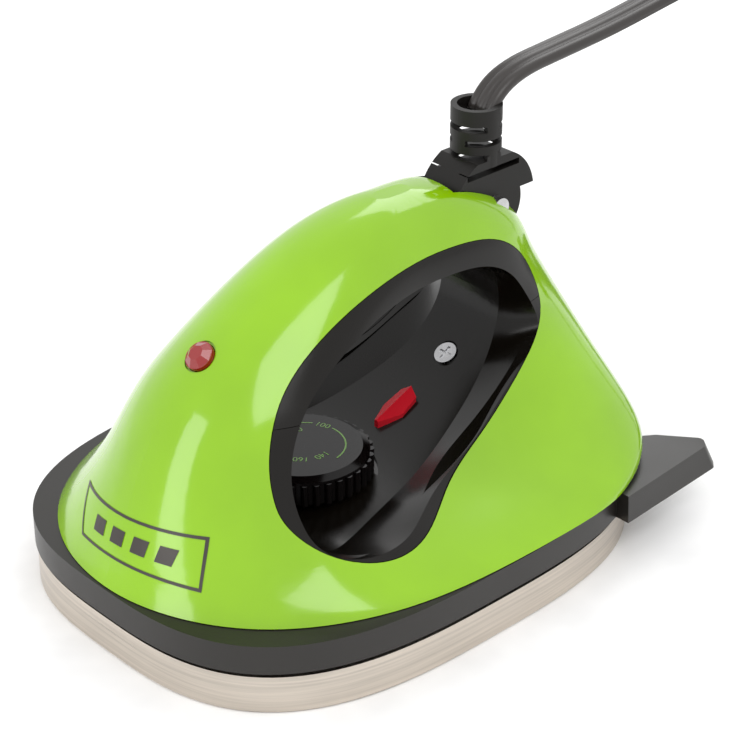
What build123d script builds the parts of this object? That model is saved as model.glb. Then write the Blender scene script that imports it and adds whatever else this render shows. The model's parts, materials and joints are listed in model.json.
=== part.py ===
"""Waxing iron for skis and snowboards: a thick heated sole, a moulded body with a hand opening,
a temperature dial, a pilot lamp and a swivelling cord guard with its mains lead.

Frame: +X to the nose, +Y to the iron's left, +Z up, origin at the centre of the sole's flat underside.
Millimetres throughout.
"""
import os
from math import asin, atan2, cos, degrees, hypot, pi, radians, sin, tan

from build123d import *

os.makedirs("parts", exist_ok=True)

# ---------------------------------------------------------------- driving dimensions
SOLE_LENGTH = 129.0
SOLE_WIDTH = 102.0
SOLE_THICK = 8.9
SOLE_EXPONENT = 3.0            # how square the rounded sole outline is

SEAM = 1.0                     # shadow gap between the sole and the collar, filled by the gasket
COLLAR_BASE = SOLE_THICK + SEAM
COLLAR_TOP = 16.6
SHELL_BASE = 16.8
HEEL_X = -74.0                 # rearmost point of the collar's two heel horns

WALL_SIDE = 1.8                # the shell's inner form is this much narrower
WALL_TOP = 2.0                 # and this much lower than the outer form

DIAL_X = 10.0
DIAL_RADIUS = 15.6
DIAL_BASE = 22.0
DIAL_TOP = 28.2
DIAL_RIBS = 36

PIVOT_X = -42.0                # swivel axis of the cord guard, along Y
PIVOT_Z = 70.5
DOME_RADIUS = 12.5             # the guard's foot, a half disc over a hub, turns between two ears
HUB_RADIUS = 8.4
FOOT_HALF = 5.6
SLEEVE_RADIUS = 5.7
SLEEVE_TOP = 93.2
SLEEVE_BORE = 4.3              # the wide mouth; the cord passage below it is narrower
PASSAGE_RADIUS = 3.0
PIN_RADIUS = 2.4
RUNNING = 0.05                 # radial clearance of every turning fit

LAMP_X = 37.0
LAMP_Z = 59.9
LAMP_ANGLE = 40.0              # lean of the lamp's axis from vertical, towards the nose

SPINDLE_RADIUS = 3.0
CORD_DIAMETER = 5.2            # round stand-in with the flat lead's cross section
CORD_LENGTH = 1800.0
EXPORTED = []


def save(node, name):
    """Label a finished piece and write its STEP file."""
    node.part.label = name
    export_step(node.part, f"parts/{name}.step")
    EXPORTED.append(name)


# ---------------------------------------------------------------- shared outlines
def rounded_outline(front_x, rear_x, half_width, exponent, steps=20):
    """Closed superellipse outline in plan, as points for a periodic spline."""
    middle = (front_x + rear_x) / 2
    reach = (front_x - rear_x) / 2
    points = []
    for i in range(2 * steps):
        angle = pi * i / steps
        c, s = cos(angle), sin(angle)
        x = middle + reach * abs(c) ** (2 / exponent) * (1 if c >= 0 else -1)
        y = half_width * abs(s) ** (2 / exponent) * (1 if s >= 0 else -1)
        points.append((x, y))
    return points


def smooth_face(points, plane):
    """Sketch on a plane with one smooth closed outline through the points."""
    with BuildSketch(plane) as face:
        with BuildLine():
            Spline(*points, periodic=True)
        make_face()
    return face.sketch


# The body's outer form is a stack of stations. Each one is a rounded outline seen from above, tilted
# about Y where its front and rear heights differ: front x, front z, rear x, rear z, and the half width
# at the shoulder, the waist and the heel.
STATIONS = (
    (64.4, 16.8, -67.0, 16.8, 49.4, 51.2, 51.0),
    (62.8, 20.0, -69.6, 20.0, 47.2, 45.6, 50.2),
    (61.0, 24.5, -70.6, 24.5, 42.8, 34.6, 43.6),
    (58.4, 30.0, -70.0, 30.0, 38.4, 24.6, 34.0),
    (55.0, 37.0, -67.6, 37.0, 34.0, 18.4, 25.2),
    (50.2, 46.0, -62.8, 46.0, 29.4, 15.6, 19.2),
    (43.8, 54.0, -57.8, 54.0, 24.6, 15.0, 17.0),
    (35.6, 61.0, -53.6, 61.0, 20.6, 15.0, 16.0),
    (25.4, 68.0, -50.0, 67.0, 17.0, 14.8, 14.4),
    (15.4, 73.5, -44.4, 72.0, 13.6, 12.8, 12.2),
    (5.0, 77.5, -35.8, 76.5, 9.5, 9.0, 8.8),
    (-5.0, 79.5, -27.0, 79.0, 5.6, 5.0, 5.0),
    (-11.0, 80.1, -21.0, 79.9, 2.2, 2.2, 2.2),
)
SHOULDER, WAIST, HEEL = 0.75, -0.1, -0.85     # where along a station its three widths are reached
NOSE_POWER, TAIL_POWER = 2.7, 4.5


def ease(u):
    """Smooth step from 0 to 1, level at both ends."""
    u = min(max(u, 0.0), 1.0)
    return u * u * (3 - 2 * u)


def station_half_width(t, widths):
    """Half width at t, from -1 at the rear to 1 at the front, with rounded ends."""
    shoulder, waist, heel = widths
    width = waist + (shoulder - waist) * ease((t - WAIST) / (SHOULDER - WAIST))
    width += (heel - waist) * ease((t - WAIST) / (HEEL - WAIST))
    power = NOSE_POWER if t > 0 else TAIL_POWER
    return width * max(1 - abs(t) ** power, 0) ** 0.5


def body_form(side_inset=0.0, drop=0.0, half_steps=10):
    """The body's form, inset at the sides and lowered: a loft through the stations."""
    sections = []
    for front_x, front_z, rear_x, rear_z, *widths in STATIONS:
        if widths[1] <= side_inset + 1:
            continue
        front = Vector(front_x - side_inset, 0, front_z - drop)
        rear = Vector(rear_x + side_inset, 0, rear_z - drop)
        along = (front - rear).normalized()
        plane = Plane(origin=(front + rear) / 2, x_dir=along, z_dir=(-along.Z, 0, along.X))
        reach = (front - rear).length / 2
        upper = []
        for i in range(half_steps + 1):
            t = cos(pi * i / half_steps)
            upper.append((reach * t, station_half_width(t, [w - side_inset for w in widths])))
        lower = [(x, -y) for x, y in upper[-2:0:-1]]
        sections.append(smooth_face(upper + lower, plane))
    with BuildPart() as form:
        loft(sections)
    return form.part


# The hand opening in side view (x, z): the rim on the shell, the grip surface between the two floor
# creases, and the mouth that the grip surface flares to near the shell.
RIM = (
    (39.3, 36.5), (33.6, 51.5), (18.0, 63.2), (-2.0, 69.5), (-20.0, 70.4), (-36.0, 66.9), (-45.5, 57.5),
    (-47.5, 49.0), (-38.0, 39.3), (-22.0, 30.9), (-3.0, 26.2), (12.0, 23.2), (27.0, 24.0), (36.6, 29.6),
)
GRIP = (
    (35.6, 37.0), (30.4, 48.8), (16.0, 58.6), (-2.0, 63.8), (-19.0, 64.6), (-32.0, 61.8), (-39.3, 54.8),
    (-40.6, 47.5), (-36.0, 37.2), (-21.0, 27.2), (-5.0, 22.2), (12.0, 20.7), (26.0, 21.0), (33.5, 26.0),
)
MOUTH = (
    (37.5, 37.0), (31.5, 49.6), (16.5, 59.6), (-2.0, 64.6), (-19.5, 65.4), (-33.5, 62.8), (-43.0, 55.5),
    (-46.5, 48.5), (-38.0, 40.3), (-22.0, 31.7), (-3.0, 27.0), (12.0, 23.8), (27.0, 24.6), (35.8, 30.0),
)
CREASE_Y = 12.0                # half width of the grip floor at CREASE_X
CREASE_X = -30.0
SPREAD = 0.27                  # how the floor widens towards the nose
FLARE_DEPTH = 10.8             # sideways distance from the crease to the mouth
OVERRUN = 1.7                  # the flare cut runs past the mouth by this factor
OPENING_CENTRE = (-4.0, 44.0)


def grown(points, amount):
    """The outline moved outwards from the middle of the opening."""
    result = []
    for x, z in points:
        dx, dz = x - OPENING_CENTRE[0], z - OPENING_CENTRE[1]
        scale = 1 + amount / hypot(dx, dz)
        result.append((OPENING_CENTRE[0] + dx * scale, OPENING_CENTRE[1] + dz * scale))
    return result


def opening():
    """Space inside the hand opening: straight between the creases, flaring out beyond them."""
    stretch = hypot(1, SPREAD)
    outer = [(a[0] + (b[0] - a[0]) * OVERRUN, a[1] + (b[1] - a[1]) * OVERRUN) for a, b in zip(GRIP, MOUTH)]
    sections = []
    for side, depth, outline in ((1, FLARE_DEPTH * OVERRUN, outer), (1, 0.0, GRIP), (-1, 0.0, GRIP),
                                 (-1, FLARE_DEPTH * OVERRUN, outer)):
        along = Vector(1, side * SPREAD, 0).normalized()
        plane = Plane(origin=(CREASE_X, side * (CREASE_Y + depth), 0), x_dir=along, z_dir=(along.Y, -along.X, 0))
        local = [((x - CREASE_X) * stretch, z) for x, z in outline]
        sections.append(smooth_face(local, plane))
    with BuildPart() as space:
        loft(sections, ruled=True)
    return space.part


HALF_BODY = 60.0               # any cut across the whole body reaches this far each side

def across(points):
    """Bar across the whole body with the outline given in side view."""
    with BuildPart() as bar:
        extrude(smooth_face([(x, z) for x, z in points], Plane.XZ), amount=HALF_BODY, both=True)
    return bar.part



def tube(points, bends, radius, name):
    """Round tube along straight runs joined by tangent arcs."""
    with BuildPart() as pipe:
        with BuildLine() as line:
            FilletPolyline(*points, radius=bends)
        path = line.wires()[0]
        with BuildSketch(Plane(origin=path @ 0, z_dir=path % 0)):
            Circle(radius)
        sweep(path=path)
    expected = pi * radius ** 2 * path.length
    print(name, "length", round(path.length, 1), "volume ratio", round(pipe.part.volume / expected, 4))
    return pipe.part


def bend_radii(points):
    """One radius for each corner of a route, as large as its two runs allow."""
    runs = [Vector(*b) - Vector(*a) for a, b in zip(points, points[1:])]
    radii = []
    for before, after in zip(runs, runs[1:]):
        half_turn = radians(before.get_angle(after)) / 2
        radii.append(0.45 * min(before.length, after.length) / tan(half_turn))
    return radii


def plate(front_x, rear_x, half_width, bottom, top, exponent=SOLE_EXPONENT):
    """Flat plate with the sole's kind of rounded outline."""
    face = smooth_face(rounded_outline(front_x, rear_x, half_width, exponent), Plane.XY.offset(bottom))
    with BuildPart() as flat:
        extrude(face, amount=top - bottom)
    return flat.part


def upright(x, y, radius, bottom, top):
    """Upright round bar."""
    with BuildPart() as bar:
        with BuildSketch(Plane.XY.offset(bottom)):
            with Locations((x, y)):
                Circle(radius)
        extrude(amount=top - bottom)
    return bar.part


def screws(places, shank_radius, tip, seat, head_radius, head_height):
    """Pan head screws standing point down, one at each (x, y)."""
    with BuildPart() as group:
        for x, y in places:
            add(upright(x, y, shank_radius, tip, seat))
            add(upright(x, y, head_radius, seat, seat + head_height))
    return group


HALF = SOLE_LENGTH / 2

# ---------------------------------------------------------------- sole and heater
ELEMENT_RADIUS = 3.2
ELEMENT_Y = 30.0
ELEMENT_FRONT = 40.0
ELEMENT_REAR = -42.0
SOLE_SCREWS = ((51.5, 18.0), (51.5, -18.0), (-54.0, 16.0), (-54.0, -16.0))
EARTH_XY = (-10.0, -21.0)


def element_path(rear, radius, name):
    """U-shaped bar following the sole's outline."""
    points = ((rear, ELEMENT_Y, SOLE_THICK), (ELEMENT_FRONT, ELEMENT_Y, SOLE_THICK),
              (ELEMENT_FRONT, -ELEMENT_Y, SOLE_THICK), (rear, -ELEMENT_Y, SOLE_THICK))
    return tube(points, 22.0, radius, name)


with BuildPart() as sole_plate:
    add(plate(HALF, -HALF, SOLE_WIDTH / 2, 0, SOLE_THICK))
    chamfer(sole_plate.faces().sort_by(Axis.Z)[0].edges(), length=0.5)
    add(element_path(ELEMENT_REAR - 9, ELEMENT_RADIUS + 0.05, "element groove"), mode=Mode.SUBTRACT)
    for x, y in SOLE_SCREWS + (EARTH_XY,):
        add(upright(x, y, 2.05, 2.5, SOLE_THICK), mode=Mode.SUBTRACT)
save(sole_plate, "sole_plate")

with BuildPart() as sole_gasket:
    add(plate(HALF - 1.6, -HALF + 1.6, SOLE_WIDTH / 2 - 1.6, SOLE_THICK, COLLAR_BASE))
    add(plate(HALF - 6.5, -HALF + 6.5, SOLE_WIDTH / 2 - 6.5, SOLE_THICK, COLLAR_BASE), mode=Mode.SUBTRACT)
save(sole_gasket, "sole_gasket")

with BuildPart() as heating_element:
    add(element_path(ELEMENT_REAR, ELEMENT_RADIUS, "heating element"))
save(heating_element, "heating_element")

with BuildPart() as element_pins:
    for side in (1, -1):
        with BuildSketch(Plane(origin=(ELEMENT_REAR, side * ELEMENT_Y, SOLE_THICK), z_dir=(-1, 0, 0))):
            Circle(1.2)
        extrude(amount=7)
save(element_pins, "element_pins")

CLAMP_X = (-30.0, 4.0)
CLAMP_OUTER = 4.1
with BuildPart() as element_clamps:
    for x in CLAMP_X:
        for side in (1, -1):
            with BuildSketch(Plane(origin=(x, side * ELEMENT_Y, SOLE_THICK), x_dir=(0, 1, 0), z_dir=(1, 0, 0))):
                Circle(CLAMP_OUTER)
                Rectangle(20, 1.0, align=(Align.CENTER, Align.MIN))
                Circle(ELEMENT_RADIUS + 0.05, mode=Mode.SUBTRACT)
                Rectangle(30, 12, align=(Align.CENTER, Align.MAX), mode=Mode.SUBTRACT)
            extrude(amount=10)
    for x in CLAMP_X:
        for y in (ELEMENT_Y - 7.2, ELEMENT_Y + 7.2, 7.2 - ELEMENT_Y, -7.2 - ELEMENT_Y):
            add(upright(x + 5, y, 1.6, SOLE_THICK - 1, SOLE_THICK + 3), mode=Mode.SUBTRACT)
save(element_clamps, "element_clamps")

clamp_places = [(x + 5, side * (ELEMENT_Y + out)) for x in CLAMP_X for side in (1, -1) for out in (7.2, -7.2)]
element_screws = screws(clamp_places, 1.5, SOLE_THICK, SOLE_THICK + 1.0, 2.6, 1.4)
save(element_screws, "element_screws")

# ---------------------------------------------------------------- collar and heat shield
LEDGE_TOP = 13.2
SHELL_SCREWS = ((57.5, 0.0), (-56.0, 32.0), (-56.0, -32.0))

# Each heel corner has a flat horn; its tip slopes outwards towards the sole
HORN_BOTTOM = ((-40.0, 20.0), (-40.0, 50.8), (-72.0, 48.6), (-75.0, 45.8), (-66.8, 36.0))
HORN_TOP = ((-40.0, 20.0), (-40.0, 50.4), (-69.0, 48.0), (-71.4, 45.4), (-64.6, 37.0))
with BuildPart() as heel_horn:
    for z, outline in ((COLLAR_BASE, HORN_BOTTOM), (COLLAR_TOP, HORN_TOP)):
        with BuildSketch(Plane.XY.offset(z)) as horn_face:
            with BuildLine():
                Polyline(*outline, close=True)
            make_face()
            fillet(horn_face.vertices().sort_by(Axis.X)[0:2], radius=1.6)
    loft(ruled=True)

with BuildPart() as base_collar:
    add(plate(HALF + 0.5, -HALF - 1.5, SOLE_WIDTH / 2 + 0.3, COLLAR_BASE, COLLAR_TOP))
    add(heel_horn.part)
    mirror(heel_horn.part, about=Plane.XZ)
    add(plate(HALF - 4.5, -HALF + 3.5, SOLE_WIDTH / 2 - 5, COLLAR_BASE, COLLAR_TOP), mode=Mode.SUBTRACT)
    add(plate(HALF - 4.5, -HALF + 3.5, SOLE_WIDTH / 2 - 5, COLLAR_BASE, LEDGE_TOP))
    add(plate(HALF - 7, -HALF + 6, SOLE_WIDTH / 2 - 7.5, COLLAR_BASE, LEDGE_TOP), mode=Mode.SUBTRACT)
    for x, y in SOLE_SCREWS:
        add(upright(x, y, 5.6, COLLAR_BASE, LEDGE_TOP))
    for x, y in SHELL_SCREWS:
        add(upright(x, y, 4.2, COLLAR_BASE, COLLAR_TOP))
    for x, y in SOLE_SCREWS:
        add(upright(x, y, 2.3, COLLAR_BASE, LEDGE_TOP), mode=Mode.SUBTRACT)
    for x, y in SHELL_SCREWS:
        add(upright(x, y, 1.6, COLLAR_BASE, COLLAR_TOP), mode=Mode.SUBTRACT)
        add(upright(x, y, 3.0, COLLAR_BASE, COLLAR_BASE + 1.9), mode=Mode.SUBTRACT)
save(base_collar, "base_collar")

sole_screws = screws(SOLE_SCREWS, 2.0, 3.0, LEDGE_TOP, 3.6, 2.0)
save(sole_screws, "sole_screws")

with BuildPart() as shell_screws:
    for x, y in SHELL_SCREWS:
        add(upright(x, y, 2.8, COLLAR_BASE + 0.1, COLLAR_BASE + 1.8))
        add(upright(x, y, 1.2, COLLAR_BASE + 1.8, 22.0))
save(shell_screws, "shell_screws")

SHIELD_OPENING = (62.0, 40.0)
with BuildPart() as heat_shield:
    add(plate(HALF - 5, -HALF + 4, SOLE_WIDTH / 2 - 5.5, LEDGE_TOP, LEDGE_TOP + 0.8))
    for x, y in SOLE_SCREWS + SHELL_SCREWS:
        add(upright(x, y, 4.6, LEDGE_TOP, LEDGE_TOP + 0.8), mode=Mode.SUBTRACT)
    with BuildSketch(Plane.XY.offset(LEDGE_TOP)):
        with Locations((-4.0, 0.0)):
            RectangleRounded(*SHIELD_OPENING, radius=6)
        with Locations((-50.0, ELEMENT_Y), (-50.0, -ELEMENT_Y)):
            RectangleRounded(12, 9, radius=2)
    extrude(amount=0.8, mode=Mode.SUBTRACT)
save(heat_shield, "heat_shield")

# ---------------------------------------------------------------- body shell and opening
LAMP_AXIS = Vector(sin(radians(LAMP_ANGLE)), 0, cos(radians(LAMP_ANGLE)))
LAMP_PLANE = Plane(origin=(LAMP_X, 0, LAMP_Z), z_dir=LAMP_AXIS)
LENS_RADIUS = 3.2
SLOT_HALF = FOOT_HALF + 0.3
SLOT_RADIUS = DOME_RADIUS + 0.6
EAR_SPAN = (-58.0, -26.0)
EAR_BASE = 64.0


def across_bar(x, z, radius, half):
    """Round bar along Y, centred on the middle plane."""
    with BuildPart() as bar:
        with BuildSketch(Plane.XZ):
            with Locations((x, z)):
                Circle(radius)
        extrude(amount=half, both=True)
    return bar.part


def block(low, high):
    """Box between two corners."""
    size = [b - a for a, b in zip(low, high)]
    middle = [(a + b) / 2 for a, b in zip(low, high)]
    with BuildPart() as box:
        with Locations(tuple(middle)):
            Box(*size)
    return box.part


def lamp_bar(radius, start, end):
    """Round bar along the lamp's axis, between two depths below the surface."""
    with BuildPart() as bar:
        with BuildSketch(LAMP_PLANE.offset(start)):
            Circle(radius)
        extrude(amount=end - start)
    return bar.part


# The slot that the cord guard's foot turns in, and the way down from it for the cord
with BuildPart() as guard_slot:
    add(across_bar(PIVOT_X, PIVOT_Z, SLOT_RADIUS, SLOT_HALF))
    add(block((PIVOT_X - 20, -10, EAR_BASE - 10), (PIVOT_X + 20, 10, PIVOT_Z - 3.5)), mode=Mode.SUBTRACT)
    add(across_bar(PIVOT_X, PIVOT_Z, HUB_RADIUS + 0.6, SLOT_HALF))
    add(block((PIVOT_X - SLOT_RADIUS, -SLOT_HALF, PIVOT_Z), (PIVOT_X + SLOT_RADIUS, SLOT_HALF, 90)))

outer_form = body_form()
inner_form = body_form(WALL_SIDE, WALL_TOP)

with BuildPart() as upper_shell:
    add(outer_form)
    add(inner_form, mode=Mode.SUBTRACT)
    with BuildPart(mode=Mode.PRIVATE) as solid_ears:
        add(block((EAR_SPAN[0], -12, EAR_BASE), (EAR_SPAN[1], 12, 79)))
        add(outer_form, mode=Mode.INTERSECT)
    add(solid_ears.part)
    with BuildPart(mode=Mode.PRIVATE) as bosses:
        for x, y in SHELL_SCREWS:
            add(upright(x, y, 3.4, SHELL_BASE, 27))
        add(outer_form, mode=Mode.INTERSECT)
    add(bosses.part)
    for x, y in SHELL_SCREWS:
        add(upright(x, y, 1.25, SHELL_BASE - 1, 22.5), mode=Mode.SUBTRACT)
    add(across(RIM), mode=Mode.SUBTRACT)
    add(guard_slot.part, mode=Mode.SUBTRACT)
    add(across_bar(PIVOT_X, PIVOT_Z, PIN_RADIUS + RUNNING, 8.1), mode=Mode.SUBTRACT)
    add(lamp_bar(LENS_RADIUS + 0.12, -6, 4), mode=Mode.SUBTRACT)
    add(lamp_bar(LENS_RADIUS + 0.5, -0.5, 4), mode=Mode.SUBTRACT)
save(upper_shell, "upper_shell")

# The lining of the opening: a rim flush with the shell, over a pan that closes the floor
RIM_GAP = 0.15
SPLIT_Z = 50.0
SPLIT_GAP = 0.05
SPINDLE_HOLE = 3.6
WELL_RADIUS = DIAL_RADIUS + 0.8
PAN_HALF = 38.0
PAN = (
    (37.5, 33.0), (36.0, 24.0), (30.0, 19.2), (12.0, 18.4), (-6.0, 19.9), (-22.0, 24.6), (-38.0, 34.4),
    (-44.5, 44.5), (-41.0, 46.0), (-22.0, 34.0), (-3.0, 30.0), (12.0, 27.0), (27.0, 28.0), (36.0, 37.0),
)
# A screw sits in a round recess on the rear slope of the floor, square to the slope
SLOPE_ANGLE = degrees(atan2(GRIP[8][1] - GRIP[9][1], GRIP[9][0] - GRIP[8][0]))
SLOPE_PLANE = Plane(origin=(-33.0, 0, 35.2), z_dir=(sin(radians(SLOPE_ANGLE)), 0, cos(radians(SLOPE_ANGLE))))


def on_slope(radius, start, end):
    """Round bar square to the rear slope of the floor, between two heights above it."""
    with BuildPart() as bar:
        with BuildSketch(SLOPE_PLANE.offset(start)):
            Circle(radius)
        extrude(amount=end - start)
    return bar.part


with BuildPart() as lining:
    add(across(grown(RIM, -RIM_GAP)))
    add(outer_form, mode=Mode.INTERSECT)
    with BuildPart(mode=Mode.PRIVATE) as pan:
        with BuildSketch(Plane.XZ):
            with BuildLine():
                Polyline(*PAN, close=True)
            make_face()
        extrude(amount=PAN_HALF, both=True)
        add(inner_form, mode=Mode.INTERSECT)
    add(pan.part)
    add(opening(), mode=Mode.SUBTRACT)
    add(upright(DIAL_X, 0, SPINDLE_HOLE, 15, DIAL_BASE), mode=Mode.SUBTRACT)
    add(upright(DIAL_X, 0, WELL_RADIUS, DIAL_BASE - 0.4, DIAL_BASE + 3), mode=Mode.SUBTRACT)
    add(on_slope(3.1, -1.2, 2), mode=Mode.SUBTRACT)
    add(on_slope(1.0, -6, 0), mode=Mode.SUBTRACT)
    add(lamp_bar(4.9, -13, 0), mode=Mode.SUBTRACT)
    add(guard_slot.part, mode=Mode.SUBTRACT)
    add(block((-58, -3.6, 36), (GRIP[7][0] - 2.0, 3.6, 65)), mode=Mode.SUBTRACT)

for name, low, high in (("handle_liner", SPLIT_Z + SPLIT_GAP, 90), ("saddle_panel", 10, SPLIT_Z - SPLIT_GAP)):
    with BuildPart() as half_lining:
        add(lining.part)
        add(block((-70, -60, low), (70, 60, high)), mode=Mode.INTERSECT)
    save(half_lining, name)

with BuildPart() as panel_screw:
    add(on_slope(2.7, -1.2, -0.3))
    add(on_slope(1.0, -5, -1.2))
    with BuildSketch(SLOPE_PLANE.offset(-0.3)):
        Rectangle(3.4, 0.7)
        Rectangle(0.7, 3.4)
    extrude(amount=-0.6, mode=Mode.SUBTRACT)
save(panel_screw, "panel_screw")

# The red pointer: a ridged dart standing on the floor, its point towards the dial
POINTER_TIP = (-11.8, 25.7)
POINTER_REAR = (-22.6, 30.3)
POINTER_HALF = 3.0
ROOF_SLOPE = 0.5
ridge = Vector(POINTER_REAR[0] - POINTER_TIP[0], 0, POINTER_REAR[1] - POINTER_TIP[1]).normalized()
with BuildPart() as red_pointer:
    with BuildSketch(Plane.XY.offset(20)):
        with BuildLine():
            Polyline((POINTER_TIP[0], 0.6), (-17.0, POINTER_HALF), (POINTER_REAR[0] + 0.8, POINTER_HALF - 0.6),
                     (POINTER_REAR[0], 0), (POINTER_REAR[0] + 0.8, 0.6 - POINTER_HALF), (-17.0, -POINTER_HALF),
                     (POINTER_TIP[0], -0.6), close=True)
        make_face()
    extrude(amount=14)
    add(opening(), mode=Mode.INTERSECT)
    for side in (1, -1):
        roof = ridge.cross(Vector(0, side, -ROOF_SLOPE))
        up = roof if roof.Z > 0 else roof * -1
        split(bisect_by=Plane(origin=(POINTER_TIP[0], 0, POINTER_TIP[1]), z_dir=up), keep=Keep.BOTTOM)
save(red_pointer, "red_pointer")

# ---------------------------------------------------------------- pilot lamp
with BuildPart() as pilot_lens:
    add(lamp_bar(LENS_RADIUS, -4.4, 0.5))
    add(lamp_bar(4.3, -4.4, -3.6))
    with BuildSketch(LAMP_PLANE.offset(0.5)) as lens_edge:
        RegularPolygon(radius=LENS_RADIUS, side_count=8)
    with BuildSketch(LAMP_PLANE.offset(1.7)) as lens_tip:
        RegularPolygon(radius=1.7, side_count=8)
    loft([lens_edge.sketch, lens_tip.sketch])
save(pilot_lens, "pilot_lens")

with BuildPart() as lamp_holder:
    add(lamp_bar(4.3, -9.5, -4.4))
    add(lamp_bar(3.6, -9.5, -4.4), mode=Mode.SUBTRACT)
save(lamp_holder, "lamp_holder")

NEON_X, NEON_Z = LAMP_X - 7.0 * sin(radians(LAMP_ANGLE)), LAMP_Z - 7.0 * cos(radians(LAMP_ANGLE))
with BuildPart() as neon_lamp:
    add(across_bar(NEON_X, NEON_Z, 1.8, 3.0))
save(neon_lamp, "neon_lamp")

RESISTOR_X, RESISTOR_Z = 20.0, 65.4
with BuildPart() as lamp_resistor:
    add(across_bar(RESISTOR_X, RESISTOR_Z, 1.1, 3.0))
    add(across_bar(RESISTOR_X, RESISTOR_Z, 0.3, 5.5))
save(lamp_resistor, "lamp_resistor")

# ---------------------------------------------------------------- dial
SPINDLE_TOP = 27.0
with BuildPart() as dial_knob:
    add(upright(DIAL_X, 0, DIAL_RADIUS - 0.9, DIAL_BASE, DIAL_TOP))
    chamfer(dial_knob.edges().sort_by(Axis.Z)[-1], length=0.9, length2=1.6)
    with BuildSketch(Plane.XY.offset(DIAL_BASE)):
        with Locations((DIAL_X, 0)):
            with PolarLocations(DIAL_RADIUS - 0.9, DIAL_RIBS):
                Circle(0.85)
    extrude(amount=DIAL_TOP - DIAL_BASE - 1.3)
    with BuildSketch(Plane.XY.offset(DIAL_BASE)):
        with Locations((DIAL_X, 0)):
            Circle(DIAL_RADIUS - 3.0)
            Circle(5.0, mode=Mode.SUBTRACT)
    extrude(amount=DIAL_TOP - DIAL_BASE - 2.2, mode=Mode.SUBTRACT)
    add(upright(DIAL_X, 0, SPINDLE_RADIUS, DIAL_BASE, SPINDLE_TOP), mode=Mode.SUBTRACT)
save(dial_knob, "dial_knob")

SPINDLE_TIP = 12.9
CLIP_BASE, CLIP_TOP = 17.75, 18.15
with BuildPart() as dial_spindle:
    add(upright(DIAL_X, 0, SPINDLE_RADIUS, SPINDLE_TIP, SPINDLE_TOP))
    with BuildSketch(Plane.XY.offset(CLIP_BASE)):
        with Locations((DIAL_X, 0)):
            Circle(SPINDLE_RADIUS)
            Circle(SPINDLE_RADIUS - 0.6, mode=Mode.SUBTRACT)
    extrude(amount=CLIP_TOP - CLIP_BASE, mode=Mode.SUBTRACT)
save(dial_spindle, "dial_spindle")

with BuildPart() as dial_clip:
    with BuildSketch(Plane.XY.offset(CLIP_BASE)):
        with Locations((DIAL_X, 0)):
            Circle(4.4)
            Circle(SPINDLE_RADIUS - 0.6, mode=Mode.SUBTRACT)
        with Locations((DIAL_X + 4, 0)):
            Rectangle(8, 3.2, mode=Mode.SUBTRACT)
    extrude(amount=CLIP_TOP - CLIP_BASE)
save(dial_clip, "dial_clip")

# ---------------------------------------------------------------- thermostat
STACK_X = -16.0
STACK_RADIUS = 4.2
RIVET_RADIUS = 1.5
FOOT_TOP = SOLE_THICK + 0.8
ARM_BASE, ARM_TOP = 15.0, 16.0
BLADE_HALF = 3.2
BLADE_TIP = DIAL_X + 3
BLADE_TAIL = -22.0
BLADE_Z = (FOOT_TOP + 1.0, FOOT_TOP + 1.4)
BIMETAL_Z = (FOOT_TOP + 2.4, FOOT_TOP + 3.0)
STACK_TOP = BIMETAL_Z[1] + 0.8
BUSH_TOP = 17.6

with BuildPart() as thermostat_bracket:
    add(block((-26, -7, SOLE_THICK), (-6.5, 7, FOOT_TOP)))
    for side in (1, -1):
        add(block((-7.5, min(side * 4.2, side * 7), SOLE_THICK), (-6.5, max(side * 4.2, side * 7), ARM_TOP)))
    add(block((-7.5, -7, ARM_BASE), (17.5, 7, ARM_TOP)))
    add(upright(STACK_X, 0, RIVET_RADIUS, SOLE_THICK, FOOT_TOP), mode=Mode.SUBTRACT)
    add(upright(DIAL_X, 0, 4.0, ARM_BASE, ARM_TOP), mode=Mode.SUBTRACT)
save(thermostat_bracket, "thermostat_bracket")

with BuildPart() as spindle_bush:
    add(upright(DIAL_X, 0, 4.0, ARM_BASE - 1.0, ARM_TOP))
    add(upright(DIAL_X, 0, 5.2, ARM_TOP, BUSH_TOP))
    add(upright(DIAL_X, 0, SPINDLE_RADIUS + RUNNING, ARM_BASE - 1.0, BUSH_TOP), mode=Mode.SUBTRACT)
save(spindle_bush, "spindle_bush")

with BuildPart() as thermostat_insulators:
    for low, high in ((FOOT_TOP, BLADE_Z[0]), (BLADE_Z[1], BIMETAL_Z[0]), (BIMETAL_Z[1], STACK_TOP)):
        add(upright(STACK_X, 0, STACK_RADIUS, low, high))
    add(upright(STACK_X, 0, RIVET_RADIUS, FOOT_TOP, STACK_TOP), mode=Mode.SUBTRACT)
save(thermostat_insulators, "thermostat_insulators")

for name, (low, high), tail in (("thermostat_blade", BLADE_Z, BLADE_TAIL), ("thermostat_bimetal", BIMETAL_Z, BLADE_TAIL)):
    with BuildPart() as strip:
        add(block((tail, -BLADE_HALF, low), (BLADE_TIP, BLADE_HALF, high)))
        add(upright(STACK_X, 0, RIVET_RADIUS, low, high), mode=Mode.SUBTRACT)
    save(strip, name)

with BuildPart() as thermostat_contacts:
    for low, high in ((BLADE_Z[1], BLADE_Z[1] + 0.45), (BIMETAL_Z[0] - 0.45, BIMETAL_Z[0])):
        add(upright(3.0, 0, 1.5, low, high))
save(thermostat_contacts, "thermostat_contacts")

with BuildPart() as thermostat_rivet:
    add(upright(STACK_X, 0, RIVET_RADIUS, SOLE_THICK, STACK_TOP))
    add(upright(STACK_X, 0, 2.6, STACK_TOP, STACK_TOP + 1.0))
save(thermostat_rivet, "thermostat_rivet")

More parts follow.
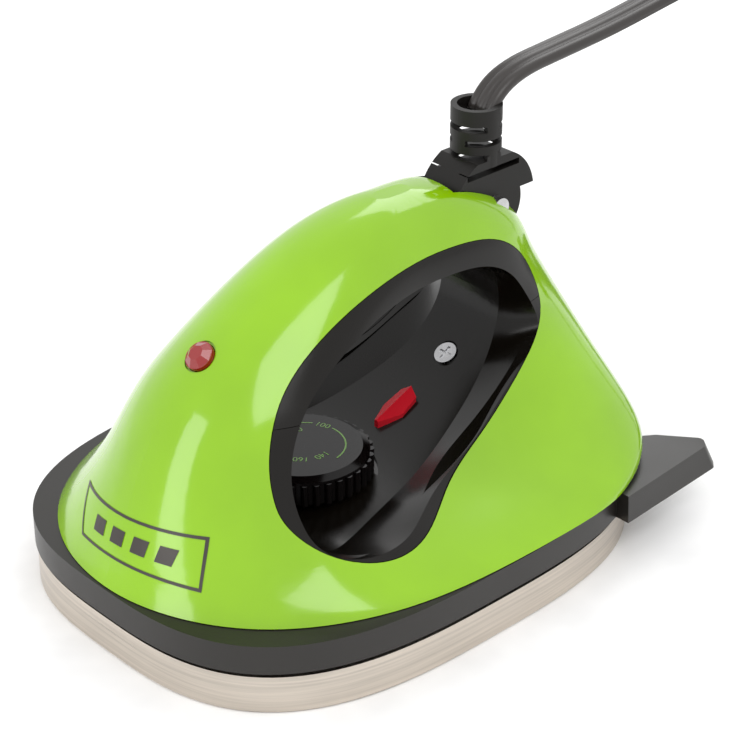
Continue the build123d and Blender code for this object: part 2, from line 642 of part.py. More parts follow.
# ---------------------------------------------------------------- wiring inside
WIRE_RADIUS = 0.9
BLOCK_FRONT = -49.0
BLOCK_TOP = 22.0
BLOCK_BASE = LEDGE_TOP + 0.8
POLES = (6.5, 0.0, -6.5)
FUSE_X, FUSE_Z = -38.0, SOLE_THICK + 2.1

with BuildPart() as terminal_block:
    add(block((BLOCK_FRONT - 10, -10.5, BLOCK_BASE), (BLOCK_FRONT, 10.5, BLOCK_TOP)))
    for y in POLES:
        add(upright(BLOCK_FRONT - 5, y, 1.5, BLOCK_TOP - 4, BLOCK_TOP), mode=Mode.SUBTRACT)
save(terminal_block, "terminal_block")

terminal_screws = screws([(BLOCK_FRONT - 5, y) for y in POLES], 1.5, BLOCK_TOP - 4, BLOCK_TOP, 2.3, 1.4)
save(terminal_screws, "terminal_screws")

with BuildPart() as thermal_fuse:
    add(across_bar(FUSE_X, FUSE_Z, 1.5, 5.5))
    add(across_bar(FUSE_X, FUSE_Z, 0.5, 9.5))
save(thermal_fuse, "thermal_fuse")

with BuildPart() as fuse_sleeve:
    add(across_bar(FUSE_X, FUSE_Z, 2.1, 7.0))
    add(across_bar(FUSE_X, FUSE_Z, 1.5, 7.0), mode=Mode.SUBTRACT)
save(fuse_sleeve, "fuse_sleeve")

with BuildPart() as earth_tag:
    add(upright(*EARTH_XY, 3.8, SOLE_THICK, SOLE_THICK + 0.8))
    with BuildSketch(Plane.XY.offset(SOLE_THICK)):
        with BuildLine():
            Polyline(EARTH_XY, (EARTH_XY[0], EARTH_XY[1] + 2.5), (-19.0, -16.0), (-19.4, -18.6), close=True)
        make_face()
    extrude(amount=0.8)
    add(upright(*EARTH_XY, 1.9, SOLE_THICK, SOLE_THICK + 0.8), mode=Mode.SUBTRACT)
save(earth_tag, "earth_tag")

earth_screw = screws((EARTH_XY,), 1.9, 3.0, SOLE_THICK + 0.8, 3.2, 1.6)
save(earth_screw, "earth_screw")

PIN_END = ELEMENT_REAR - 5
WIRES = {
    "wire_line": ((BLOCK_FRONT, 6.5, 17.0), (-44.0, 6.5, 17.0), (-35.5, 5.6, 16.4), (-28.0, 2.0, 12.6),
                  (BLADE_TAIL, 2.0, 12.4)),
    "wire_neutral": ((BLOCK_FRONT, -6.5, 17.0), (-44.0, -6.5, 17.0), (-41.5, -14.0, 17.2), (-43.0, -23.0, 17.0),
                     (PIN_END, -ELEMENT_Y, 15.8), (PIN_END, -ELEMENT_Y, SOLE_THICK + 1.2)),
    "wire_earth": ((BLOCK_FRONT, 0.0, 17.0), (-44.0, 0.0, 17.0), (-36.0, -5.5, 16.0), (-28.0, -13.0, 12.4),
                   (-18.0, -17.4, FOOT_TOP + WIRE_RADIUS)),
    "wire_switch": ((BLADE_TAIL, -2.0, 10.9), (-26.0, -2.0, 10.9), (-31.0, -9.0, 11.1), (FUSE_X, -14.5, 11.1),
                    (FUSE_X, -9.5, FUSE_Z)),
    "wire_heater": ((FUSE_X, 9.5, FUSE_Z), (FUSE_X, 14.5, 11.1), (-41.6, 21.0, 11.0), (-46.0, 25.6, 11.1),
                    (PIN_END, 32.0, SOLE_THICK + 1.2 + WIRE_RADIUS)),
}
for name, route in WIRES.items():
    with BuildPart() as wire:
        add(tube(route, bend_radii(route), WIRE_RADIUS, name))
    save(wire, name)

TAIL_ROUTE = ((-45.6, 0.0, 60.4), (-46.6, 0.0, 52.0), (-50.0, 0.0, 42.6), (-55.0, 0.0, 33.0))
with BuildPart() as cord_tail:
    add(tube(TAIL_ROUTE, bend_radii(TAIL_ROUTE), CORD_DIAMETER / 2, "cord tail"))
save(cord_tail, "cord_tail")

with BuildPart() as cord_cores:
    for y in POLES:
        core = ((-55.0, y / 4, 32.2), (-55.6, y / 3, 29.4), (-54.0, y, 26.2), (-54.0, y, BLOCK_TOP + 1.4))
        add(tube(core, bend_radii(core), 0.8, "cord core"))
save(cord_cores, "cord_cores")

CLAMP_AT = Vector(-52.2, 0, 38.6)
with BuildPart() as cord_clamp:
    with BuildPart(Plane(origin=CLAMP_AT, z_dir=(-0.37, 0, -0.93)), mode=Mode.PRIVATE) as clamp_body:
        Box(7.4, 17, 5)
    add(clamp_body.part)
    add(cord_tail.part, mode=Mode.SUBTRACT)
save(cord_clamp, "cord_clamp")

# ---------------------------------------------------------------- cord guard
SLEEVE_X = PIVOT_X + 0.5
SLOT_LEVELS = 4
SLOT_PITCH = 3.25
SLOT_HEIGHT = 1.35
SLOT_TOP_LEVEL = SLEEVE_TOP - 3.6

with BuildPart() as cord_guard:
    with BuildSketch(Plane.XZ):
        with Locations((PIVOT_X, PIVOT_Z)):
            Circle(DOME_RADIUS)
            with Locations((0, 2.2)):
                Rectangle(40, 30, align=(Align.CENTER, Align.MAX), mode=Mode.SUBTRACT)
            Circle(HUB_RADIUS)
    extrude(amount=FOOT_HALF, both=True)
    add(upright(SLEEVE_X, 0, SLEEVE_RADIUS, PIVOT_Z + 8, SLEEVE_TOP))
    add(upright(SLEEVE_X, 0, SLEEVE_BORE, PIVOT_Z + 8, SLEEVE_TOP), mode=Mode.SUBTRACT)
    add(upright(SLEEVE_X, 0, PASSAGE_RADIUS, PIVOT_Z - 12, PIVOT_Z + 9), mode=Mode.SUBTRACT)
    for level in range(SLOT_LEVELS):
        for turn in (0, 180):
            angle = turn + 90 * (level % 2)
            with BuildSketch(Plane.XY.offset(SLOT_TOP_LEVEL - level * SLOT_PITCH)):
                with Locations(Location((SLEEVE_X, 0, 0), (0, 0, angle))):
                    Polygon((0, 0), (2.9, 8), (9, 8), (9, -8), (2.9, -8), align=None)
            extrude(amount=-SLOT_HEIGHT, mode=Mode.SUBTRACT)
    add(across_bar(PIVOT_X, PIVOT_Z, PIN_RADIUS, FOOT_HALF), mode=Mode.SUBTRACT)
    with BuildPart(mode=Mode.PRIVATE) as hub_core:
        add(across_bar(PIVOT_X, PIVOT_Z, PIN_RADIUS + 1, 3.6))
        add(upright(SLEEVE_X, 0, PASSAGE_RADIUS, PIVOT_Z - 12, PIVOT_Z + 9), mode=Mode.SUBTRACT)
    add(hub_core.part)
save(cord_guard, "cord_guard")

with BuildPart() as guard_pins:
    add(across_bar(PIVOT_X, PIVOT_Z, PIN_RADIUS, 7.8))
    add(across_bar(PIVOT_X, PIVOT_Z, PIN_RADIUS + 1, 3.6), mode=Mode.SUBTRACT)
save(guard_pins, "guard_pins")

with BuildPart() as guard_cord:
    add(upright(SLEEVE_X, 0, CORD_DIAMETER / 2, PIVOT_Z - 7.6, SLEEVE_TOP - 1.4))
save(guard_cord, "guard_cord")

# ---------------------------------------------------------------- mains cord, coil and plug
# Out of the guard's mouth and back in a high arch, down to the table behind, and into a flat coil
CORD_ROUTE = (
    (-46.2, 0.0, 96.0), (-52.8, 0.0, 98.9), (-66.0, 0.0, 99.3), (-84.0, 0.0, 100.6), (-104.0, 0.0, 103.4),
    (-124.0, 0.0, 105.4), (-142.0, 1.5, 101.4), (-155.0, 6.0, 89.0), (-163.0, 12.0, 71.0), (-169.0, 19.0, 51.0),
    (-176.5, 27.0, 31.5), (-187.5, 35.5, 15.4), (-203.0, 44.0, 6.2), (-221.0, 50.5, 2.8),
)
COIL_OUTER = 54.0
COIL_INNER = 30.5
COIL_BASE = 0.6
COIL_HEIGHT = 7.6
entry = Vector(CORD_ROUTE[-1][0] - CORD_ROUTE[-2][0], CORD_ROUTE[-1][1] - CORD_ROUTE[-2][1], 0).normalized()
COIL_ENTRY = Vector(CORD_ROUTE[-1][0], CORD_ROUTE[-1][1], 0) + entry * 8
COIL_CENTRE = COIL_ENTRY + Vector(-entry.Y, entry.X, 0) * (COIL_OUTER - 1.7)
print("cord radii", [round(radius) for radius in bend_radii(CORD_ROUTE)])
print("coil centre", round(COIL_CENTRE.X, 1), round(COIL_CENTRE.Y, 1))

with BuildPart() as mains_cord:
    add(tube(CORD_ROUTE, bend_radii(CORD_ROUTE), CORD_DIAMETER / 2, "mains cord"))
save(mains_cord, "mains_cord")

with BuildPart() as cord_coil:
    with BuildSketch(Plane.XY.offset(COIL_BASE)):
        with Locations((COIL_CENTRE.X, COIL_CENTRE.Y)):
            Circle(COIL_OUTER)
            Circle(COIL_INNER, mode=Mode.SUBTRACT)
    extrude(amount=COIL_HEIGHT)
save(cord_coil, "cord_coil")

# The inner end climbs inside the coil and turns over it to the plug, which lies on the turns
LEAD_OFFSETS = (
    (9.5, -31.0, 4.4), (20.6, -22.6, 4.9), (27.4, -9.0, 7.6), (27.0, 6.4, 11.2), (19.8, 20.0, 14.4),
    (9.6, 27.6, 16.2), (-1.0, 30.4, 16.2),
)
LEAD_ROUTE = [(COIL_CENTRE.X + x, COIL_CENTRE.Y + y, z) for x, y, z in LEAD_OFFSETS]
print("plug lead radii", [round(radius) for radius in bend_radii(LEAD_ROUTE)])
with BuildPart() as plug_lead:
    add(tube(LEAD_ROUTE, bend_radii(LEAD_ROUTE), CORD_DIAMETER / 2, "plug lead"))
save(plug_lead, "plug_lead")

PLUG_RELIEF = 22.0
PLUG_LENGTH = 30.0
PLUG_WIDTH = 21.0
PLUG_HEIGHT = 16.0
BLADE_LENGTH = 17.0
lead_end = Vector(*LEAD_ROUTE[-1])
plug_way = Vector(LEAD_ROUTE[-1][0] - LEAD_ROUTE[-2][0], LEAD_ROUTE[-1][1] - LEAD_ROUTE[-2][1], 0).normalized()


def plug_plane(distance):
    """Plane across the plug, its X level and its Y up, at a distance from where the lead ends."""
    return Plane(origin=lead_end + plug_way * distance, x_dir=(-plug_way.Y, plug_way.X, 0), z_dir=plug_way)


with BuildPart() as plug_body:
    with BuildSketch(plug_plane(0)) as relief_start:
        Circle(3.6)
    with BuildSketch(plug_plane(PLUG_RELIEF)) as relief_end:
        Circle(5.8)
    loft([relief_start.sketch, relief_end.sketch])
    with BuildSketch(plug_plane(PLUG_RELIEF)):
        RectangleRounded(PLUG_WIDTH, PLUG_HEIGHT, radius=5)
    extrude(amount=PLUG_LENGTH)
save(plug_body, "plug_body")

with BuildPart() as plug_blades:
    with BuildSketch(plug_plane(PLUG_RELIEF + PLUG_LENGTH)):
        with Locations((6.35, 2.5), (-6.35, 2.5)):
            Rectangle(1.5, 6.3)
    extrude(amount=BLADE_LENGTH)
save(plug_blades, "plug_blades")

with BuildPart() as ground_pin:
    with BuildSketch(plug_plane(PLUG_RELIEF + PLUG_LENGTH)):
        with Locations((0, -5.0)):
            Circle(2.4)
    extrude(amount=BLADE_LENGTH + 3)
save(ground_pin, "ground_pin")

TIE_ANGLE = 150.0
TIE_WIDTH = 8.0
TIE_WALL = 0.6
middle = (COIL_INNER + COIL_OUTER) / 2
span = COIL_OUTER - COIL_INNER
outward = Vector(1, 0, 0).rotate(Axis.Z, TIE_ANGLE)
tie_centre = COIL_CENTRE + outward * middle + Vector(0, 0, COIL_BASE + COIL_HEIGHT / 2)
tie_plane = Plane(origin=tie_centre, x_dir=outward, z_dir=(-outward.Y, outward.X, 0))
with BuildPart() as cord_tie:
    with BuildSketch(tie_plane):
        Rectangle(span + 2 * TIE_WALL + 0.6, COIL_HEIGHT + 2 * TIE_WALL)
        Rectangle(span + 0.6, COIL_HEIGHT, mode=Mode.SUBTRACT)
    extrude(amount=TIE_WIDTH / 2, both=True)
save(cord_tie, "cord_tie")
print("nodes", len(EXPORTED))
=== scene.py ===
"""Waxing iron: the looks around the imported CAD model. Metres, in the CAD frame."""

import json
import math

import bpy
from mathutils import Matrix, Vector
from mathutils.bvhtree import BVHTree


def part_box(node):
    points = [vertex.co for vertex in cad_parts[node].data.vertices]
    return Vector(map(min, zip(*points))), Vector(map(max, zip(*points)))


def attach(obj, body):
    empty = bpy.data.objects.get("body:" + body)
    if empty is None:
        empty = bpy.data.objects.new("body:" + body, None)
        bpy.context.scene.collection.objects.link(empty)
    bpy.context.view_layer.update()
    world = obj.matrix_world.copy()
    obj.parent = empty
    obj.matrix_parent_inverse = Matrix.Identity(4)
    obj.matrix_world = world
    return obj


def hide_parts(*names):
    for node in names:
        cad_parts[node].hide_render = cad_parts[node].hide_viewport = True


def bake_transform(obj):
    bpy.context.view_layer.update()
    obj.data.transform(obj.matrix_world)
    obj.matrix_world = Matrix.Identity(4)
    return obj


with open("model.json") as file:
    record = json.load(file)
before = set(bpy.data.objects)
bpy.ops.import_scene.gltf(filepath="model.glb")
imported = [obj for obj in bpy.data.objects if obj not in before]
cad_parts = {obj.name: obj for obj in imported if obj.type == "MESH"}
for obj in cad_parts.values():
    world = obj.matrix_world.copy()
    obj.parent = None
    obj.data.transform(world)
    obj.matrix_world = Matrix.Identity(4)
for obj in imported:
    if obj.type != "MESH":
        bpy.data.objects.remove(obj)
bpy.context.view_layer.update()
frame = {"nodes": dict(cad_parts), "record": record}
NODES = frame["nodes"]
MM = 0.001

# ------------------------------------------------------------------ camera, light and floor
CAMERA_AT = Vector((0.280331, 0.312888, 0.274423))
LOOK_AT = Vector((0.011911, 0.025042, 0.056258))
LENS = 106.615
FLOOR_SIZE = 6.0
SENSOR_WIDTH = 36
NEAR_CLIP = 0.01
WORLD_STRENGTH = 1.0
LIGHT_AIM = Vector((0, 0, 0.04))
# Soft boxes: where each hangs, its two sides and its power in watts
LIGHTS = {
    "key": ((0.15, 0.55, 0.85), (0.55, 0.40), 2.2),
    "left": ((0.85, -0.05, 0.45), (0.30, 0.60), 1.8),
    "back": ((-0.60, -0.30, 0.60), (0.50, 0.40), 1.5),
}


def add_camera():
    """Camera at the place and angle the object is shown from."""
    data = bpy.data.cameras.new("camera")
    data.lens = LENS
    data.sensor_width = SENSOR_WIDTH
    data.clip_start = NEAR_CLIP
    camera = bpy.data.objects.new("camera", data)
    camera.location = CAMERA_AT
    camera.rotation_euler = (LOOK_AT - CAMERA_AT).to_track_quat("-Z", "Y").to_euler()
    bpy.context.collection.objects.link(camera)
    bpy.context.scene.camera = camera


def add_light(name, at, size, power):
    """Rectangular soft box turned to the object."""
    data = bpy.data.lights.new(name, "AREA")
    data.shape = "RECTANGLE"
    data.size, data.size_y = size
    data.energy = power
    light = bpy.data.objects.new(name, data)
    light.location = at
    light.rotation_euler = (LIGHT_AIM - Vector(at)).to_track_quat("-Z", "Y").to_euler()
    bpy.context.collection.objects.link(light)


def add_world(strength):
    """Even white surroundings."""
    world = bpy.data.worlds.new("studio")
    bpy.context.scene.world = world
    world.use_nodes = True
    background = world.node_tree.nodes["Background"]
    background.inputs["Color"].default_value = (1, 1, 1, 1)
    background.inputs["Strength"].default_value = strength


def mesh_object(name, verts, faces, smooth=True):
    """A linked object with this mesh."""
    mesh = bpy.data.meshes.new(name)
    mesh.from_pydata([tuple(v) for v in verts], [], faces)
    mesh.validate()
    mesh.update()
    if smooth:
        mesh.shade_smooth()
    obj = bpy.data.objects.new(name, mesh)
    bpy.context.collection.objects.link(obj)
    return obj


add_camera()
add_world(WORLD_STRENGTH)
for name, (at, size, power) in LIGHTS.items():
    add_light(name, at, size, power)
bpy.context.scene.view_settings.view_transform = "Standard"

# ------------------------------------------------------------------ materials
COAT_ROUGHNESS = 0.05
BROAD_NOISE = 35.0             # patches about 3 cm across
FINE_RELIEF = 0.05 * MM


def material(name, colour, roughness, metallic=0.0, coat=0.0, specular=0.5):
    """A plain shader whose uniform values sit on its own sockets."""
    made = bpy.data.materials.new(name)
    made.use_nodes = True
    shader = made.node_tree.nodes["Principled BSDF"]
    shader.inputs["Base Color"].default_value = (*colour, 1)
    shader.inputs["Roughness"].default_value = roughness
    shader.inputs["Metallic"].default_value = metallic
    shader.inputs["Coat Weight"].default_value = coat
    shader.inputs["Coat Roughness"].default_value = COAT_ROUGHNESS
    shader.inputs["Specular IOR Level"].default_value = specular
    return made


def noise(made, scale, detail=3.0, stretch=(1, 1, 1)):
    """Noise in the object's own space, stretched along its axes."""
    tree = made.node_tree
    place = tree.nodes.new("ShaderNodeTexCoord")
    mapping = tree.nodes.new("ShaderNodeMapping")
    mapping.inputs["Scale"].default_value = stretch
    texture = tree.nodes.new("ShaderNodeTexNoise")
    texture.inputs["Scale"].default_value = scale
    texture.inputs["Detail"].default_value = detail
    tree.links.new(place.outputs["Object"], mapping.inputs["Vector"])
    tree.links.new(mapping.outputs["Vector"], texture.inputs["Vector"])
    return texture


def vary(made, texture, socket, low, high):
    """The texture moves a shader value between two limits."""
    tree = made.node_tree
    spread = tree.nodes.new("ShaderNodeMapRange")
    spread.inputs["From Min"].default_value = 0.3
    spread.inputs["From Max"].default_value = 0.7
    spread.inputs["To Min"].default_value = low
    spread.inputs["To Max"].default_value = high
    tree.links.new(texture.outputs["Fac"], spread.inputs["Value"])
    tree.links.new(spread.outputs["Result"], tree.nodes["Principled BSDF"].inputs[socket])


def tint(made, texture, low, high):
    """The texture moves the base colour between two colours."""
    tree = made.node_tree
    ramp = tree.nodes.new("ShaderNodeValToRGB")
    ramp.color_ramp.elements[0].position = 0.35
    ramp.color_ramp.elements[1].position = 0.65
    ramp.color_ramp.elements[0].color = (*low, 1)
    ramp.color_ramp.elements[1].color = (*high, 1)
    tree.links.new(texture.outputs["Fac"], ramp.inputs["Fac"])
    tree.links.new(ramp.outputs["Color"], tree.nodes["Principled BSDF"].inputs["Base Color"])


def emboss(made, texture, strength):
    """Fine relief from the texture."""
    tree = made.node_tree
    bump = tree.nodes.new("ShaderNodeBump")
    bump.inputs["Strength"].default_value = strength
    bump.inputs["Distance"].default_value = FINE_RELIEF
    tree.links.new(texture.outputs["Fac"], bump.inputs["Height"])
    tree.links.new(bump.outputs["Normal"], tree.nodes["Principled BSDF"].inputs["Normal"])


def scaled(colour, factor):
    """The colour made lighter or darker by this factor."""
    return tuple(min(value * factor, 1.0) for value in colour)


def moulded(name, colour, roughness, coat=0.0, grain=900.0, relief=0.04, specular=0.5):
    """Moulded plastic or rubber: slight unevenness of colour and gloss, and a fine grain."""
    made = material(name, colour, roughness, coat=coat, specular=specular)
    broad = noise(made, BROAD_NOISE)
    tint(made, broad, scaled(colour, 0.94), scaled(colour, 1.06))
    vary(made, broad, "Roughness", roughness * 0.85, roughness * 1.15)
    emboss(made, noise(made, grain), relief)
    return made


def metal(name, colour, roughness, stretch=(1, 1, 1), scale=300.0, relief=0.05):
    """Metal with its grain stretched along the way it was worked."""
    made = material(name, colour, roughness, metallic=1.0)
    grain = noise(made, scale, 4.0, stretch)
    tint(made, grain, scaled(colour, 0.86), scaled(colour, 1.08))
    vary(made, grain, "Roughness", roughness * 0.8, roughness * 1.2)
    emboss(made, grain, relief)
    return made


GREEN = moulded("green_plastic", (0.235, 0.475, 0.0), 0.13, coat=0.35, grain=60.0, relief=0.01)
BLACK = moulded("black_plastic", (0.012, 0.010, 0.008), 0.38)
BLACK_GLOSS = moulded("gloss_black_plastic", (0.003, 0.002, 0.002), 0.12, relief=0.02, specular=0.3)
LINING = moulded("lining_plastic", (0.004, 0.003, 0.002), 0.20, relief=0.03, specular=0.3)
SEAL = moulded("seal", (0.012, 0.011, 0.010), 0.7)
RUBBER = moulded("guard_rubber", (0.006, 0.005, 0.004), 0.50, specular=0.3)
CORD = moulded("cord_rubber", (0.030, 0.026, 0.024), 0.36, relief=0.06)
RED = moulded("red_plastic", (0.58, 0.006, 0.018), 0.25, coat=0.3)
RED_LENS = moulded("red_lens", (0.26, 0.006, 0.006), 0.10, coat=0.6, relief=0.0)
SOLE = metal("brushed_sole", (0.62, 0.56, 0.49), 0.34, stretch=(0.05, 0.05, 3.0), scale=500.0,
             relief=0.10)
STEEL = metal("steel", (0.58, 0.58, 0.58), 0.30)
SCREW = metal("screw_steel", (0.50, 0.50, 0.51), 0.28)
BRASS = metal("brass", (0.75, 0.56, 0.27), 0.28)
CERAMIC = moulded("ceramic", (0.80, 0.77, 0.70), 0.3)
GLASS = moulded("lamp_glass", (0.85, 0.70, 0.62), 0.05)
SLEEVING = moulded("woven_sleeve", (0.72, 0.69, 0.60), 0.8, relief=0.3)
WIRE_WHITE = moulded("white_wire", (0.75, 0.75, 0.72), 0.4)
WIRE_BLACK = moulded("black_wire", (0.02, 0.02, 0.02), 0.4)
WIRE_GREEN = moulded("green_wire", (0.04, 0.28, 0.06), 0.4)
PRINT_BLACK = moulded("black_print", (0.035, 0.028, 0.024), 0.35)
PRINT_GREEN = moulded("green_print", (0.12, 0.30, 0.02), 0.4)
FLOOR = moulded("paper_floor", (0.93, 0.93, 0.93), 0.9, relief=0.0)

FINISHES = {
    "sole": SOLE, "black_seal": SEAL, "steel": STEEL, "screw_steel": SCREW, "black_plastic": BLACK,
    "green_shell": GREEN, "black_gloss": BLACK_GLOSS, "red_pointer": RED, "red_lens": RED_LENS,
    "lamp_glass": GLASS, "ceramic": CERAMIC, "brass": BRASS, "fabric_sleeve": SLEEVING,
    "wire_black": WIRE_BLACK, "wire_white": WIRE_WHITE, "wire_green": WIRE_GREEN,
    "cord_rubber": CORD, "guard_rubber": RUBBER,
}


def paint(obj, finish):
    """The finish becomes the object's only material."""
    obj.data.materials.clear()
    obj.data.materials.append(finish)


for part in frame["record"]["subparts"]:
    paint(NODES[part["node"]], FINISHES[part["material_slot"]])

half = FLOOR_SIZE / 2
floor = mesh_object("floor", [(-half, -half, 0), (half, -half, 0), (half, half, 0), (-half, half, 0)],
                    [(0, 1, 2, 3)], smooth=False)
paint(floor, FLOOR)

# ------------------------------------------------------------------ shell and lining
INSIDE_POINT = Vector((-0.004, 0, 0.044))          # middle of the hand opening
CUT_TILT = 0.02                # the opening is cut straight across, so its edge has no more tilt
DOWNWARD = -0.3                # faces that look down more steeply than this are inside
LOOK_REACH = 0.12              # farther than the shell is wide
STEP_OFF = 0.1 * MM


def surface_tree(obj):
    """The object's faces in world space, ready for ray casts."""
    world = obj.matrix_world
    corners = [world @ vertex.co for vertex in obj.data.vertices]
    return BVHTree.FromPolygons(corners, [tuple(face.vertices) for face in obj.data.polygons])


def blacken_inside(shell, tree):
    """The shell is green outside only: its inside and the cut edge of its opening are black."""
    turn = shell.matrix_world.to_3x3()
    shell.data.materials.append(LINING)
    for face in shell.data.polygons:
        normal = (turn @ face.normal).normalized()
        start = shell.matrix_world @ face.center + normal * STEP_OFF
        cut_edge = abs(normal.y) < CUT_TILT and normal.dot(start - INSIDE_POINT) < 0
        faces_shell = tree.ray_cast(start, normal, LOOK_REACH)[0] is not None
        if cut_edge or normal.z < DOWNWARD or faces_shell:
            face.material_index = 1


shell_tree = surface_tree(NODES["upper_shell"])
blacken_inside(NODES["upper_shell"], shell_tree)
for name in ("handle_liner", "saddle_panel"):
    paint(NODES[name], LINING)

# ------------------------------------------------------------------ mains cord
CORD_WIDTH = 7.6 * MM
LOBES = ((-2.4, 1.4), (0.0, 1.7), (2.4, 1.4))     # across the flat cord: place and radius, mm
SECTION_STEPS = 26
ROUTE = (
    (-0.0428, 0.0, 0.0905), (-0.0450, 0.0, 0.0946), (-0.0528, 0.0, 0.0982), (-0.0660, 0.0, 0.0992),
    (-0.0840, 0.0, 0.1006), (-0.1040, 0.0, 0.1034), (-0.1240, 0.0, 0.1054), (-0.1420, 0.0015, 0.1014),
    (-0.1550, 0.006, 0.0890), (-0.1630, 0.012, 0.0710), (-0.1690, 0.019, 0.0510), (-0.1765, 0.027, 0.0315),
    (-0.1875, 0.0355, 0.0160), (-0.2030, 0.0440, 0.0076), (-0.2210, 0.0505, 0.0046),
)
TURN_START = 0.11              # the cord lies level up to this far along it
TURN_END = 0.24                # and stands on edge from here
COIL_TURNS = 5.6
COIL_POINTS = 14               # points in each turn
COIL_START = math.radians(14)  # how far round the coil its first point is from the route's end
COIL_PITCH = 3.6 * MM
COIL_RADIUS = 52.3 * MM
COIL_Z = 4.4 * MM
# From the coil to the plug, measured from the coil's middle
LEAD_OFFSETS = (
    (0.0206, -0.0226, 0.0049), (0.0274, -0.0090, 0.0076), (0.0270, 0.0064, 0.0112), (0.0198, 0.0200, 0.0144),
    (0.0096, 0.0276, 0.0162), (-0.0010, 0.0304, 0.0162),
)
SWELL = 1 / math.cos(math.pi / COIL_POINTS)        # the smooth line runs this much inside its points


def coil_centre():
    """Middle of the coil on the floor."""
    low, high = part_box("cord_coil")
    return Vector(((low[0] + high[0]) / 2, (low[1] + high[1]) / 2, 0))


def coil_points(centre, start):
    """The coil's turns, anticlockwise from the outside in."""
    points = []
    first = math.atan2(start[1] - centre.y, start[0] - centre.x) + COIL_START
    for i in range(round(COIL_TURNS * COIL_POINTS)):
        turn = i / COIL_POINTS
        angle = first + 2 * math.pi * turn
        radius = (COIL_RADIUS - COIL_PITCH * turn) * SWELL
        points.append((centre.x + radius * math.cos(angle), centre.y + radius * math.sin(angle), COIL_Z))
    return points


def smooth_path(points):
    """Points along the smooth line that a cord of these points follows."""
    curve = bpy.data.curves.new("route", "CURVE")
    curve.dimensions = "3D"
    curve.resolution_u = 6
    spline = curve.splines.new("NURBS")
    spline.points.add(len(points) - 1)
    for point, place in zip(spline.points, points):
        point.co = (*place, 1)
    spline.order_u = 3
    spline.use_endpoint_u = True
    carrier = bpy.data.objects.new("route", curve)
    bpy.context.collection.objects.link(carrier)
    line = bpy.data.meshes.new_from_object(carrier)
    path = [vertex.co.copy() for vertex in line.vertices]
    bpy.data.objects.remove(carrier)
    return path


def flat_section():
    """Outline of the three-lobed cord: across its width, and its half thickness there."""
    top = []
    half_width = CORD_WIDTH / MM / 2
    for i in range(SECTION_STEPS + 1):
        across = -half_width * math.cos(math.pi * i / SECTION_STEPS)
        height = 0.0
        for place, radius in LOBES:
            height = max(height, math.sqrt(max(radius ** 2 - (across - place) ** 2, 0)))
        top.append((across * MM, height * MM))
    return top + [(x, -y) for x, y in top[-2:0:-1]]


def ease(u):
    """Smooth step from 0 to 1."""
    u = min(max(u, 0.0), 1.0)
    return u * u * (3 - 2 * u)


def flat_cord(name, path, section):
    """The flat cord swept along a path: level at first, standing on edge after TURN_END."""
    verts = []
    lengths = [0.0]
    for a, b in zip(path, path[1:]):
        lengths.append(lengths[-1] + (b - a).length)
    for i, place in enumerate(path):
        along = (path[min(i + 1, len(path) - 1)] - path[max(i - 1, 0)]).normalized()
        level = along.cross(Vector((0, 0, 1))).normalized()
        upright = along.cross(level).normalized()
        angle = math.pi / 2 * ease((lengths[i] - TURN_START) / (TURN_END - TURN_START))
        wide = level * math.cos(angle) + upright * math.sin(angle)
        thick = wide.cross(along)
        for across, height in section:
            verts.append(place + wide * across + thick * height)
    count = len(section)
    faces = []
    for ring in range(len(path) - 1):
        for k in range(count):
            a, b = ring * count + k, ring * count + (k + 1) % count
            faces.append((a, b, b + count, a + count))
    faces.append(tuple(range(count - 1, -1, -1)))
    last = (len(path) - 1) * count
    faces.append(tuple(last + k for k in range(count)))
    return mesh_object(name, verts, faces)


centre = coil_centre()
route_points = list(ROUTE) + coil_points(centre, ROUTE[-1])
route_points += [(centre.x + x, centre.y + y, z) for x, y, z in LEAD_OFFSETS]
cord_path = smooth_path(route_points)
cord = flat_cord("mains_cord_flat", cord_path, flat_section())
paint(cord, CORD)
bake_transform(cord)
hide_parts("mains_cord", "cord_coil", "plug_lead", "guard_cord")

# ------------------------------------------------------------------ badge on the nose
# Corners (y, z): low left, low right, high right, high left
BADGE_CORNERS = ((-0.0122, 0.0216), (0.0216, 0.0219), (0.0188, 0.0316), (-0.0184, 0.0291))
BADGE_LINE = (0.017, 0.063)    # width of its lines as a share of its length and of its height
BADGE_ARCH = 0.0007            # rise of the middle over the ends
BADGE_LIFT = 0.00012
AHEAD_OF_NOSE = 0.12
MARKS = 4
MARK_START = 0.17
MARK_STEP = 0.18
MARK_LENGTH = 0.11
MARK_SLANT = 0.04
MARK_HEIGHTS = (0.33, 0.67)


def on_nose(y, z):
    """The point of the shell's nose at this y and z, just proud of it."""
    hit, normal, _, _ = shell_tree.ray_cast(Vector((AHEAD_OF_NOSE, y, z)), Vector((-1, 0, 0)))
    return hit + normal * BADGE_LIFT


def badge_point(along, up):
    """A point on the nose at these shares of the badge's length and height."""
    low_left, low_right, high_right, high_left = (Vector(corner) for corner in BADGE_CORNERS)
    y, z = low_left.lerp(low_right, along).lerp(high_left.lerp(high_right, along), up)
    return on_nose(y, z + BADGE_ARCH * 4 * along * (1 - along))


def printed_patch(name, along, up, columns=1, rows=1, slant=0.0):
    """A thin printed patch between two shares of the badge's length and of its height."""
    verts, faces = [], []
    for i in range(columns + 1):
        for k in range(rows + 1):
            share = along[0] + (along[1] - along[0]) * i / columns + slant * k / rows
            verts.append(badge_point(share, up[0] + (up[1] - up[0]) * k / rows))
    for i in range(columns):
        for k in range(rows):
            a = i * (rows + 1) + k
            faces.append((a, a + rows + 1, a + rows + 2, a + 1))
    piece = mesh_object(name, verts, faces)
    paint(piece, PRINT_BLACK)
    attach(piece, "iron")


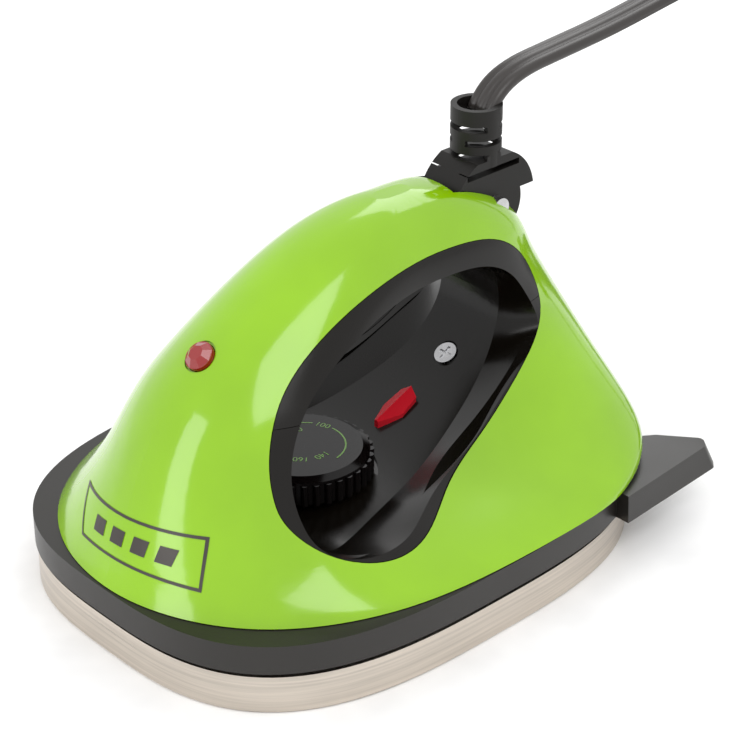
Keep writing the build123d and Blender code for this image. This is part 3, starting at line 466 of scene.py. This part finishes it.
def badge():
    """A plain frame with a row of slanted bars in it."""
    thin, tall = BADGE_LINE
    printed_patch("badge_low", (0, 1), (0, tall), columns=60)
    printed_patch("badge_high", (0, 1), (1 - tall, 1), columns=60)
    printed_patch("badge_left", (0, thin), (0, 1), rows=24)
    printed_patch("badge_right", (1 - thin, 1), (0, 1), rows=24)
    for i in range(MARKS):
        start = MARK_START + i * MARK_STEP
        printed_patch(f"badge_mark_{i}", (start, start + MARK_LENGTH), MARK_HEIGHTS, columns=16, rows=12,
                      slant=MARK_SLANT)


badge()

# ------------------------------------------------------------------ print on the dial
low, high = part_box("dial_knob")
DIAL_AT = Vector(((low[0] + high[0]) / 2, 0, high[2]))
PRINT_LIFT = 0.00004
ARC_RADIUS = 0.0092
ARC_LINE = 0.00035
NUMBER_RADIUS = 0.0062
NUMBER_SIZE = 0.0024
# Degrees round the dial: the arcs' ends, and each number with its distance from the middle
ARCS = {"dial_arc_a": (100, 185), "dial_arc_b": (215, 300)}
NUMBERS = {
    "100": (200, ARC_RADIUS), "120": (245, NUMBER_RADIUS), "140": (90, NUMBER_RADIUS),
    "160": (45, NUMBER_RADIUS), "0": (0, NUMBER_RADIUS),
}


def dial_piece(name, verts, faces):
    """Green print that turns with the dial."""
    piece = mesh_object(name, verts, faces, smooth=False)
    paint(piece, PRINT_GREEN)
    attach(piece, "dial")


def dial_arc(name, start, end, steps=40):
    """Thin printed arc on the dial's face between two angles in degrees."""
    verts, faces = [], []
    for i in range(steps + 1):
        angle = math.radians(start + (end - start) * i / steps)
        for radius in (ARC_RADIUS, ARC_RADIUS + ARC_LINE):
            place = Vector((radius * math.cos(angle), radius * math.sin(angle), PRINT_LIFT))
            verts.append(DIAL_AT + place)
    for i in range(steps):
        faces.append((2 * i, 2 * i + 1, 2 * i + 3, 2 * i + 2))
    dial_piece(name, verts, faces)


def dial_number(text, angle, radius):
    """A number printed on the dial, its foot towards the middle."""
    curve = bpy.data.curves.new("number", "FONT")
    curve.body = text
    curve.size = NUMBER_SIZE
    curve.align_x = "CENTER"
    curve.align_y = "CENTER"
    carrier = bpy.data.objects.new("number", curve)
    bpy.context.collection.objects.link(carrier)
    flat = bpy.data.meshes.new_from_object(carrier)
    bpy.data.objects.remove(carrier)
    turn = math.radians(angle)
    out = Vector((math.cos(turn), math.sin(turn), 0))
    across = Vector((math.sin(turn), -math.cos(turn), 0))
    verts = []
    for vertex in flat.vertices:
        place = out * (radius + vertex.co.y) + across * vertex.co.x
        verts.append(DIAL_AT + place + Vector((0, 0, PRINT_LIFT)))
    dial_piece("dial_number_" + text, verts, [tuple(p.vertices) for p in flat.polygons])


for name, (start, end) in ARCS.items():
    dial_arc(name, start, end)
for text, (angle, radius) in NUMBERS.items():
    dial_number(text, angle, radius)
